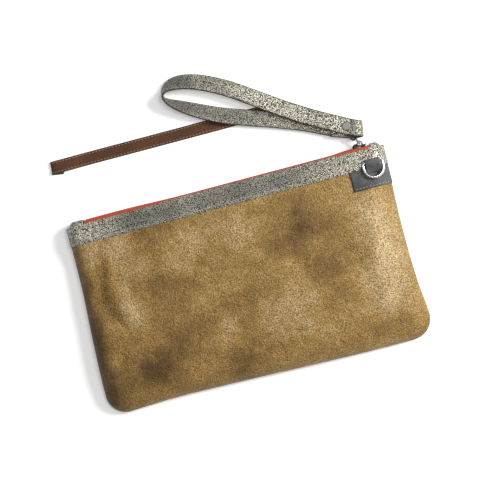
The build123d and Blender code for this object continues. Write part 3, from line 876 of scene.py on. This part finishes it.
class POUCH_OT_bands(bpy.types.Operator):
    """Foiled bands along both sides of the mouth, with their sewing"""
    bl_idname = "pouch.bands"
    bl_label = "Bands"

    def execute(self, context):
        self.front(context.scene.pouch_sizes)
        self.back(context.scene.pouch_sizes)
        return {"FINISHED"}

    def front(self, sizes):
        rows = band_rows()
        x, y = plan_grid(rows, SIDE_ROUND * 0.65, 170)
        step, roll = band_profile(rows, BAND_LOW_Y - 0.3, MOUTH_Y)
        z = front_height(x, y)
        ripple = 0.5 * soft_noise(x, y, 16.0, 5.0) + 0.25 * soft_noise(x, y, 6.0, 9.0)
        side = quarter(np.minimum(x - left_edge(y), right_edge(y) - x), 12.0)
        lift = BAND_LIFT * step[:, None] - 0.9 * (1 - roll[:, None])
        normals = grid_normals(stacked(x, y, z), 1)
        sheet = stacked(x, follow_mouth(x, y), z)
        outer = sheet + normals * (lift + ripple * side * 0.5)[..., None]
        inner = sheet - normals * BAND_DEPTH
        inner[..., 2] = np.maximum(inner[..., 2], SEAM_Z)
        materials = [finish_for("foil"), finish_for("suede"), finish_for("foil")]
        halves("front_band", outer, inner, materials)
        middle = x.shape[1] // 2
        row = int(np.argmin(np.abs(np.array(rows) - BAND_LOW_Y - SEWING_INSET)))
        for side_name, way in SIDES:
            part = slice(6, middle + 1) if way < 0 else slice(middle, x.shape[1] - 6)
            line, up = outer[row, part], normals[row, part]
            piece = sewn_row(f"front_band_sewing_low_{side_name}", line + up * 0.03, up, sizes,
                             finish_for("foil_thread"))
            fold_at_seam(piece)

    def back(self, sizes):
        rows = [BAND_LOW_Y] + list(np.linspace(BAND_LOW_Y + 0.5, MOUTH_Y - 1.0, 12))
        rows += [MOUTH_Y - 0.6, MOUTH_Y - 0.2, MOUTH_Y]
        outer, inner = back_points(rows, 120), back_points(rows, 120, sizes.leather / MM)
        for grid in (outer, inner):
            grid[..., 1] = follow_mouth(grid[..., 0], grid[..., 1])
        materials = [finish_for("foil"), finish_for("suede"), finish_for("foil")]
        piece = slab("back_band_leather", outer, inner, materials, up=-1)
        ride_as(piece, "pouch", "back_band")
        line = outer[2, 8:-8]
        down = np.tile(np.array([0.0, 0.0, -1.0]), (len(line), 1))
        line[:, 2] = np.maximum(line[:, 2], 0.02) + 0.12
        piece = sewn_row("back_band_sewing_low", line, down, sizes, finish_for("foil_thread"))
        ride_as(piece, "pouch")


# ---------------------------------------------------------------- zipper

def tape_sheet(way, xs):
    """Tape from under a band, round past its edge, to the coil; way is +1 at the front."""
    edge = mouth_edge(xs)
    chain = chain_line(xs)
    reach = chain - edge
    if way > 0:
        edge_z = front_height(xs, np.full_like(xs, MOUTH_Y)) - TAPE_DEPTH
    else:
        edge_z = np.full_like(xs, TAPE_DEPTH)
    coil_z = CHAIN_Z + way * 0.9
    rows = []
    for y in (MOUTH_Y - 10.8, MOUTH_Y - 7.0, MOUTH_Y - 3.0, MOUTH_Y - 1.0):
        z = front_height(xs, np.full_like(xs, y)) - TAPE_DEPTH if way > 0 else edge_z
        rows.append(np.stack([xs, np.full_like(xs, y) + (edge - MOUTH_Y), z], axis=1))
    for t in np.linspace(0, math.pi / 2, 7):
        y = edge + reach * np.sin(t)
        z = edge_z - way * reach * (1 - np.cos(t))
        rows.append(np.stack([xs, y, z], axis=1))
    for t in (0.35, 0.7, 1.0):
        z = (edge_z - way * reach) * (1 - t) + coil_z * t
        rows.append(np.stack([xs, chain, z], axis=1))
    return np.array(rows)


def coil_path(xs_start, xs_end, way, pitch):
    """Loops of one half of the coil zipper, wrapped round the edge of its tape."""
    turns = int((xs_end - xs_start) / pitch)
    t = np.linspace(0, turns, turns * 12)
    x = xs_start + t * pitch + (0.25 * pitch * np.sin(4 * math.pi * t))
    if way < 0:
        x = x + pitch / 2
    angle = 2 * math.pi * t
    y = chain_line(x) + 0.62 * np.sin(angle)
    z = CHAIN_Z + way * (0.72 - 1.05 * np.cos(angle))
    return np.stack([x, y, z], axis=1)


COVER_ROW_Y = 70.0
COVER_REACH_Y = 77.0
COVER_LOW_Z = 1.7
COVER_BULGE = 3.4
COVER_ROWS_Y = (64.5, 68.0, 71.0)


def cover_ring(x, t, edge):
    """Outline of a folded end at x: flat inside the pouch and round where it leaves the mouth."""
    out = abs(x) - abs(edge) + 5.5
    reach = COVER_REACH_Y - 0.85 * max(out, 0.0) ** 1.15 - 1.4 * max(t - 0.93, 0) / 0.07
    low = COVER_LOW_Z
    top = max(float(front_height(np.array(x), np.array(COVER_ROW_Y))) - 1.7, low + 2.6)
    bulge = min((top - low) / 2, COVER_BULGE)
    ring = [(x, y, top) for y in COVER_ROWS_Y]
    for level, start, end in ((top - bulge, math.pi / 2, 0), (low + bulge, 0, -math.pi / 2)):
        for a in np.linspace(start, end, 6):
            ring.append((x, reach - bulge + bulge * math.cos(a), level + bulge * math.sin(a)))
    return ring + [(x, y, low) for y in reversed(COVER_ROWS_Y)]


class POUCH_OT_zipper(bpy.types.Operator):
    """Orange tapes, the two halves of the coil, stops and the folded leather ends"""
    bl_idname = "pouch.zipper"
    bl_label = "Zipper"

    def execute(self, context):
        sizes = context.scene.pouch_sizes
        xs = np.linspace(COVER_LEFT_X + 0.3, COVER_RIGHT_X - 0.3, 180)
        for way in (1, -1):
            sheet = tape_sheet(way, xs)
            half = grid_normals(sheet, way) * TAPE_HALF
            if way > 0:
                halves("front_tape", sheet + half, sheet - half, [finish_for("tape")], True)
            else:
                piece = slab("back_tape_weave", sheet + half, sheet - half, [finish_for("tape")], up=-1)
                ride_as(piece, "pouch", "back_tape")
        self.coils(sizes)
        self.covers()
        for node in ("back_top_stop", "front_top_stop", "bottom_stop"):
            paint(node, "gunmetal")
        return {"FINISHED"}

    def coils(self, sizes):
        """Both halves of the coil; the front one in a left and a right piece."""
        pitch = sizes.coil_pitch / MM
        start = COVER_LEFT_X + 2.2
        path = coil_path(start, COIL_END_X, -1, pitch)
        piece = tube_mesh("back_coil", path, COIL_WIRE, 6, finish_for("coil"))
        ride_as(piece, "pouch", "back_teeth")
        path = coil_path(start, COIL_END_X, 1, pitch)
        middle = len(path) // 2
        for (side, way), part in zip(SIDES, (path[: middle + 1], path[middle:])):
            piece = tube_mesh(f"front_coil_{side}", part, COIL_WIRE, 6, finish_for("coil"))
            fold_at_end(piece)
            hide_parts("front_teeth")

    def covers(self):
        """Folded leather over both ends of the zipper."""
        for side, way in SIDES:
            inner_x = COVER_LEFT_X if way < 0 else COVER_RIGHT_X
            edge = float(left_edge(COVER_ROW_Y) if way < 0 else right_edge(COVER_ROW_Y))
            outer_x = edge - 0.5 * way
            rings = [cover_ring(inner_x + (outer_x - inner_x) * t, t, edge) for t in np.linspace(0, 1, 16)]
            faces = ring_faces(len(rings), len(rings[0]))
            if way > 0:
                faces = [tuple(reversed(face)) for face in faces]
            piece = make_mesh(f"{side}_end_fold", np.array(rings), faces, [finish_for("foil")])
            ride_as(piece, "pouch", f"{side}_end_cover")


# ---------------------------------------------------------------- tab for the D-ring

TAB_X = (93.5, 124.0)
TAB_Y = (43.2, 58.9)
TAB_GRID = (44, 30)
TAB_STITCH = 1.5
TONGUE_HALF = 5.9
TONGUE_INSIDE = 2.0


def rim_distance(count, length):
    """Distance of each of count even places from the nearer end of a length."""
    share = np.linspace(0, 1, count)
    return np.minimum(share, 1 - share) * length


def height_at(y):
    """Height of the front under the middle of the D-ring."""
    return float(front_height(np.array(D_RING_X), np.array(y)))


class POUCH_OT_tab(bpy.types.Operator):
    """Charcoal leather tab whose tongue folds round the D-ring's bar"""
    bl_idname = "pouch.tab"
    bl_label = "D-ring tab"

    def execute(self, context):
        sizes = context.scene.pouch_sizes
        columns, rows = TAB_GRID
        x, y = np.meshgrid(np.linspace(*TAB_X, columns), np.linspace(*TAB_Y, rows))
        points = stacked(x, y, front_height(x, y))
        normals = grid_normals(points, 1)
        rim_x = rim_distance(columns, TAB_X[1] - TAB_X[0])
        rim_y = rim_distance(rows, TAB_Y[1] - TAB_Y[0])
        edge = np.minimum(rim_y[:, None], rim_x[None, :])
        round_edge = np.sqrt(np.clip(1 - (1 - np.clip(edge / 0.8, 0, 1)) ** 2, 0, 1))
        wave = 0.3 * soft_noise(x, y, 9.0, 2.0)
        top = points + normals * (0.35 + 0.95 * round_edge + wave * round_edge)[..., None]
        base = slab("tab_base", top, points - normals * 0.25, [finish_for("charcoal")])
        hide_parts("d_ring_tab")
        line, up = top[3, 2:-2], normals[3, 2:-2]
        tongue = self.tongue()
        sewing = sewn_row("tab_sewing_low", line + up * 0.03, up, sizes, finish_for("tab_thread"),
                          TAB_STITCH)
        for piece in (base, tongue, sewing):
            fold_at_seam(piece)
        return {"FINISHED"}

    def tongue(self):
        """Strip up over the band, round the bar and back down to its sewn tail."""
        half = TONGUE_HALF
        flat = np.linspace(-half + 1.5, half - 1.5, 8)
        low_rim, high_rim = [-half, -half + 0.25, -half + 0.7], [half - 0.7, half - 0.25, half]
        xs = np.concatenate([low_rim, flat, high_rim]) + D_RING_X
        crown = np.array([0.0, 0.25, 0.4] + [0.42] * 8 + [0.4, 0.25, 0.0])
        route = [(y, height_at(y) + 1.25) for y in (57.6, 59.2, 60.8)]
        inside = TONGUE_INSIDE
        for a in np.linspace(-math.pi / 2 + 0.2, math.pi / 2 + 0.12, 14):
            route.append((D_RING_BAR_Y + inside * math.cos(a), D_RING_BAR_Z + inside * math.sin(a)))
        tail_z = height_at(55.0) + 2.1
        for t in (0.2, 0.4, 0.6, 0.8, 1.0):
            y = 62.2 * (1 - t) + 54.6 * t
            z = (D_RING_BAR_Z + inside) * (1 - smooth(t)) + tail_z * smooth(t)
            route.append((y, float(z) - 0.5 * math.sin(math.pi * t)))
        line = np.array(route)
        tangents = np.gradient(line, axis=0)
        tangents /= np.linalg.norm(tangents, axis=1, keepdims=True)
        outward = np.stack([tangents[:, 1], -tangents[:, 0]], axis=1)
        outer, inner = [], []
        for (y, z), (ny, nz) in zip(line, outward):
            for grid, lift in ((outer, 0.3 + crown), (inner, np.full_like(xs, -0.5))):
                grid.append(np.stack([xs, y + ny * lift, z + nz * lift], axis=1))
        return slab("tab_tongue", np.array(outer), np.array(inner), [finish_for("charcoal")], up=-1)


# ---------------------------------------------------------------- straps

# Centre points in millimetres with the heading and the rise, in degrees, of the strap's width
WRIST_ROUTE = (
    (89.5, 95.6, 5.3, -116, 0), (96.0, 93.2, 5.3, -113, 0), (102.9, 91.0, 5.3, -108, 0),
    (104.6, 90.4, 4.7, -106, 0), (106.4, 90.0, 4.0, -104, 0), (108.6, 89.6, 3.7, -102, 0),
    (111.2, 89.4, 4.8, -101, 0), (112.3, 89.3, 7.4, -100, 0), (111.2, 89.8, 10.0, -101, 0),
    (108.6, 90.6, 11.1, -103, 0), (106.4, 91.4, 10.8, -105, 0), (104.8, 92.2, 10.1, -107, 0),
    (103.6, 92.8, 9.5, -109, 0), (97.5, 96.2, 9.5, -114, 0), (84.0, 103.5, 9.6, -118, 0),
    (70.8, 111.3, 9.3, -123, 0), (54.0, 122.3, 8.8, -125, 2), (37.2, 134.1, 8.4, -125, 4),
    (20.3, 145.6, 8.2, -123, 7), (3.8, 154.3, 8.0, -116, 12), (-8.5, 158.6, 7.8, -108, 20),
    (-19.0, 159.6, 7.5, -95, 36), (-26.5, 156.8, 7.2, -84, 62), (-29.0, 152.2, 6.9, -104, 84),
    (-26.2, 147.8, 6.6, -124, 70), (-20.5, 143.6, 5.9, -128, 52), (-11.0, 138.0, 5.0, -127, 34),
    (-0.5, 132.4, 4.5, -122, 20), (11.0, 127.0, 4.1, -115, 12), (26.0, 121.4, 3.7, -110, 6),
    (48.0, 113.8, 3.5, -109, 2), (70.0, 105.4, 3.5, -112, 0), (88.0, 97.0, 3.5, -115, 0),
    (102.6, 90.8, 3.5, -111, 0),
)
PULL_ROUTE = (
    (104.4, 92.6, 1.65, -115, 0), (97.2, 96.0, 1.65, -116, 0), (86.0, 101.8, 1.1, -118, 0),
    (74.0, 109.0, 0.72, -119, 0), (64.0, 114.6, 0.72, -114, 0), (55.0, 118.6, 0.72, -106, 0),
    (45.0, 121.0, 0.72, -97, 0), (34.0, 121.6, 0.72, -91, 0), (0.0, 121.6, 0.72, -90, 0),
    (-50.0, 121.6, 0.72, -90, 0), (-98.0, 121.6, 0.72, -90, 0), (-108.0, 121.5, 1.4, -90, 0),
    (-116.0, 121.4, 2.2, -91, 0), (-124.6, 121.3, 2.2, -92, 0), (-125.5, 121.2, 1.45, -94, 0),
    (-124.6, 120.9, 0.7, -97, 0), (-117.0, 119.8, 0.7, -98, 0),
)


def strap_frames(route, step):
    """Dense centre points, width directions and face normals along a strap."""
    places = np.array([r[:3] for r in route], float)
    headings = np.radians([r[3] for r in route])
    rises = np.radians([r[4] for r in route])
    flat = np.cos(rises)
    widths = np.stack([flat * np.cos(headings), flat * np.sin(headings), np.sin(rises)], axis=1)
    chords = np.linalg.norm(np.diff(places, axis=0), axis=1)
    knots = np.concatenate([[0], np.cumsum(np.sqrt(chords))])
    samples = []
    for i, chord in enumerate(chords):
        count = max(int(chord / step), 3)
        samples += list(np.linspace(knots[i], knots[i + 1], count, endpoint=False))
    samples.append(knots[-1])
    samples = np.array(samples)

    def curve(values):
        return np.stack([through(samples, list(zip(knots, values[:, i]))) for i in range(3)], axis=1)

    centre = curve(places)
    along = np.gradient(centre, axis=0)
    along /= np.linalg.norm(along, axis=1, keepdims=True)
    across = curve(widths)
    across -= along * np.sum(across * along, axis=1, keepdims=True)
    across /= np.linalg.norm(across, axis=1, keepdims=True)
    face = np.cross(along, across)
    return centre, across, face


def strap_mesh(name, frames, width, thickness, face_material, edge_material):
    """Strap with round painted edges and slightly full faces."""
    centre, across, face = frames
    half_w, half_t = width / 2, thickness / 2
    section = []
    for sign in (1, -1):
        for u in np.linspace(-1, 1, 9):
            full = half_t * (0.86 + 0.14 * (1 - abs(u) ** 3))
            section.append((sign * u * (half_w - half_t * 0.7), sign * full))
        for a in (math.pi * 0.32, 0.0, -math.pi * 0.32):
            section.append((sign * (half_w - half_t * 0.7 + half_t * 0.7 * math.cos(a)),
                            sign * half_t * 0.8 * math.sin(a)))
    count = len(section)
    rings = [centre + across * a + face * b for a, b in section]
    points = np.stack(rings, axis=1)
    points[..., 2] = np.maximum(points[..., 2], TABLE_Z)
    rows = len(centre)
    around = [0 if j % 12 < 8 else 1 for j in range(count)]
    slots = around * (rows - 1) + [1, 1]
    return make_mesh(name, points, ring_faces(rows, count), [face_material, edge_material], slots)


def strap_sewing(name, frames, width, thickness, inset, sizes, material):
    """Stitch rows near both edges, on both faces."""
    centre, across, face = frames
    made = []
    for edge_name, edge in (("a", 1), ("b", -1)):
        for side_name, side in (("outer", 1), ("inner", -1)):
            line = centre + across * edge * (width / 2 - inset) + face * side * (thickness / 2 - 0.06)
            line[:, 2] = np.maximum(line[:, 2], TABLE_Z + STRAP_THREAD_RADIUS)
            places, tangents, share = spaced(line, sizes.stitch_pitch / MM, 2.0)
            steps = np.concatenate([[0], np.cumsum(np.linalg.norm(np.diff(line, axis=0), axis=1))])
            steps /= steps[-1]
            normals = np.stack([np.interp(share, steps, face[:, i] * side) for i in range(3)], axis=1)
            made.append(stitches(f"{name}_{edge_name}_{side_name}", places, tangents, normals,
                                 sizes.stitch_length / MM, STRAP_THREAD_RADIUS, material))
    return made


class POUCH_OT_straps(bpy.types.Operator):
    """Foiled wrist strap and the narrow brown pull strap, with painted edges and sewing"""
    bl_idname = "pouch.straps"
    bl_label = "Straps"

    def execute(self, context):
        sizes = context.scene.pouch_sizes
        wide, narrow = sizes.wrist_width / MM, sizes.pull_width / MM
        wrist, pull = strap_frames(WRIST_ROUTE, 1.4), strap_frames(PULL_ROUTE, 1.8)
        self.strap("wrist", wrist, wide, WRIST_THICKNESS, 1.5, sizes, "foil", "metallic_leather")
        self.strap("pull", pull, narrow, PULL_THICKNESS, 1.4, sizes, "brown", "brown_leather")
        return {"FINISHED"}

    def strap(self, name, frames, width, thickness, inset, sizes, key, slot):
        """One strap and the sewing along its edges."""
        face, edge = finish_for(key), finish_for("edge")
        piece = strap_mesh(f"{name}_strap_leather", frames, width, thickness, face, edge)
        ride_as(piece, f"{name}_strap", f"{name}_strap")
        sewing = finish_for(f"{key}_thread")
        for row in strap_sewing(f"{name}_sewing", frames, width, thickness, inset, sizes, sewing):
            ride_as(row, f"{name}_strap")


# ---------------------------------------------------------------- hardware and stage

def paint(node, key):
    """Gives a carried-over metal part its finish."""
    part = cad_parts[node]
    material = finish_for(key)
    if not part.material_slots:
        part.data.materials.append(material)
    for held in part.material_slots:
        held.link = "OBJECT"
        held.material = material


class POUCH_OT_hardware(bpy.types.Operator):
    """Finishes of the slider, puller, rings and rivet"""
    bl_idname = "pouch.hardware"
    bl_label = "Hardware"

    def execute(self, context):
        for node in ("slider_body", "slider_crown", "puller", "strap_ring"):
            paint(node, "gunmetal")
        paint("d_ring", "nickel")
        paint("rivet_cap", "rivet")
        paint("rivet_post", "rivet")
        return {"FINISHED"}


TILT = math.radians(-14.9)
LENS = 140.0
SENSOR = 36.0
FRAME_WIDTH = 0.385
CAMERA_PLACE = (0.0055, 0.0215)
WORLD_LIGHT = 0.22
FLOOR_HALF = 4000.0
FLOOR_Z = -0.05
# Each light's name, place to the right, place up, height, size and power
LIGHTS = (
    ("key_light", 0.9, 0.5, 0.88, 0.4, 18.0),
    ("fill_light", -0.6, 0.5, 1.2, 0.7, 0.8),
    ("top_light", 0.35, 0.2, 1.5, 0.5, 7.0),
)


class POUCH_OT_stage(bpy.types.Operator):
    """Camera straight above, pale floor and soft light from the upper right"""
    bl_idname = "pouch.stage"
    bl_label = "Stage"

    def execute(self, context):
        scene = context.scene
        self.camera(scene)
        self.floor()
        right = Vector((math.cos(TILT), math.sin(TILT), 0.0))
        up = Vector((-math.sin(TILT), math.cos(TILT), 0.0))
        for name, aside, ahead, height, size, power in LIGHTS:
            self.light(name, right * aside + up * ahead + Vector((0, 0, height)), size, power)
        world = bpy.data.worlds.new("studio")
        world.use_nodes = True
        background = world.node_tree.nodes["Background"]
        background.inputs["Color"].default_value = (1.0, 1.0, 1.0, 1.0)
        background.inputs["Strength"].default_value = WORLD_LIGHT
        scene.world = world
        scene.view_settings.view_transform = "Standard"
        return {"FINISHED"}

    def camera(self, scene):
        lens = bpy.data.cameras.new("camera")
        lens.sensor_width = SENSOR
        lens.lens = LENS
        camera = bpy.data.objects.new("camera", lens)
        camera.location = CAMERA_PLACE + (FRAME_WIDTH * LENS / SENSOR,)
        camera.rotation_euler = (0.0, 0.0, TILT)
        scene.collection.objects.link(camera)
        scene.camera = camera

    def floor(self):
        half = FLOOR_HALF
        corners = [(x * half, y * half, FLOOR_Z) for x, y in ((-1, -1), (1, -1), (1, 1), (-1, 1))]
        return make_mesh("floor", corners, [(0, 1, 2, 3)], [finish_for("paper")])

    def light(self, name, place, size, power):
        lamp = bpy.data.lights.new(name, "AREA")
        lamp.size = size
        lamp.energy = power
        holder = bpy.data.objects.new(name, lamp)
        holder.location = place
        holder.rotation_euler = (-Vector(place)).to_track_quat("-Z", "Y").to_euler()
        bpy.context.scene.collection.objects.link(holder)


# ---------------------------------------------------------------- settings and panel

class PouchSizes(bpy.types.PropertyGroup):
    """Sizes of the pouch's visible pieces"""
    leather: FloatProperty(name="Leather", description="Thickness of the body leather",
                           default=0.0014, unit="LENGTH")
    wrist_width: FloatProperty(name="Wrist strap width", description="Width of the foiled strap",
                               default=0.0127, unit="LENGTH")
    pull_width: FloatProperty(name="Pull strap width", description="Width of the brown strap",
                              default=0.010, unit="LENGTH")
    stitch_pitch: FloatProperty(name="Stitch pitch", description="Distance from stitch to stitch",
                                default=0.0026, unit="LENGTH")
    stitch_length: FloatProperty(name="Stitch length", description="Length of thread that shows",
                                 default=0.0018, unit="LENGTH")
    coil_pitch: FloatProperty(name="Coil pitch", description="Distance from loop to loop of the zipper",
                              default=0.0015, unit="LENGTH")


def colour(name, description, default):
    """A colour setting."""
    return FloatVectorProperty(name=name, description=description, default=default,
                               subtype="COLOR", size=3, min=0.0, max=1.0)


class PouchColours(bpy.types.PropertyGroup):
    """Colours of the pouch's leathers and zipper"""
    # tan_dark also colours the painted shade and tan_light the painted highlights of the front
    tan_dark: colour("Tan, dark", "Darkest clouds of the body leather", (0.10, 0.050, 0.0105))
    tan_middle: colour("Tan, middle", "Main tone of the body leather", (0.47, 0.287, 0.08))
    tan_light: colour("Tan, light", "Lightest clouds of the body leather", (0.84, 0.62, 0.33))
    # foil, pale is the flakes' colour under painted sheen; foil, grey colours dull flakes and the foil in
    # painted shade
    foil_pale_sheen: colour("Foil, pale", "Creamy metallic flakes", (0.98, 0.93, 0.76))
    foil_dull_and_shaded: colour("Foil, grey", "Greyer metallic flakes", (0.25, 0.24, 0.20))
    foil_deep: colour("Foil, cracks", "Dark leather in the cracks", (0.03, 0.027, 0.016))
    charcoal: colour("Tab", "Tab leather", (0.055, 0.055, 0.056))
    brown: colour("Pull strap", "Pull strap leather", (0.078, 0.031, 0.012))
    zip_orange: colour("Zipper", "Zipper tape and coil", (0.50, 0.075, 0.02))


class POUCH_PT_panel(bpy.types.Panel):
    """Lists the pouch's settings and pieces"""
    bl_idname = "POUCH_PT_panel"
    bl_label = "Leather pouch"
    bl_space_type = "VIEW_3D"
    bl_region_type = "UI"
    bl_category = "Pouch"

    def draw(self, context):
        for group in (context.scene.pouch_sizes, context.scene.pouch_colours):
            for key in group.__annotations__:
                self.layout.prop(group, key)
        for step in STEPS:
            self.layout.operator(step.bl_idname)


STEPS = (
    POUCH_OT_stage,
    POUCH_OT_front,
    POUCH_OT_back,
    POUCH_OT_bands,
    POUCH_OT_zipper,
    POUCH_OT_tab,
    POUCH_OT_straps,
    POUCH_OT_hardware,
)
CLASSES = (PouchSizes, PouchColours, POUCH_PT_panel) + STEPS


def register():
    """Registers the settings, operators and panel."""
    for cls in CLASSES:
        bpy.utils.register_class(cls)
    bpy.types.Scene.pouch_sizes = PointerProperty(type=PouchSizes)
    bpy.types.Scene.pouch_colours = PointerProperty(type=PouchColours)


def unregister():
    """Removes what register() added."""
    del bpy.types.Scene.pouch_colours
    del bpy.types.Scene.pouch_sizes
    for cls in reversed(CLASSES):
        bpy.utils.unregister_class(cls)


def main():
    """Builds every piece in order."""
    register()
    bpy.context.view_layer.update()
    for step in STEPS:
        group, call = step.bl_idname.split(".")
        getattr(getattr(bpy.ops, group), call)()


if __name__ == "__main__":
    main()
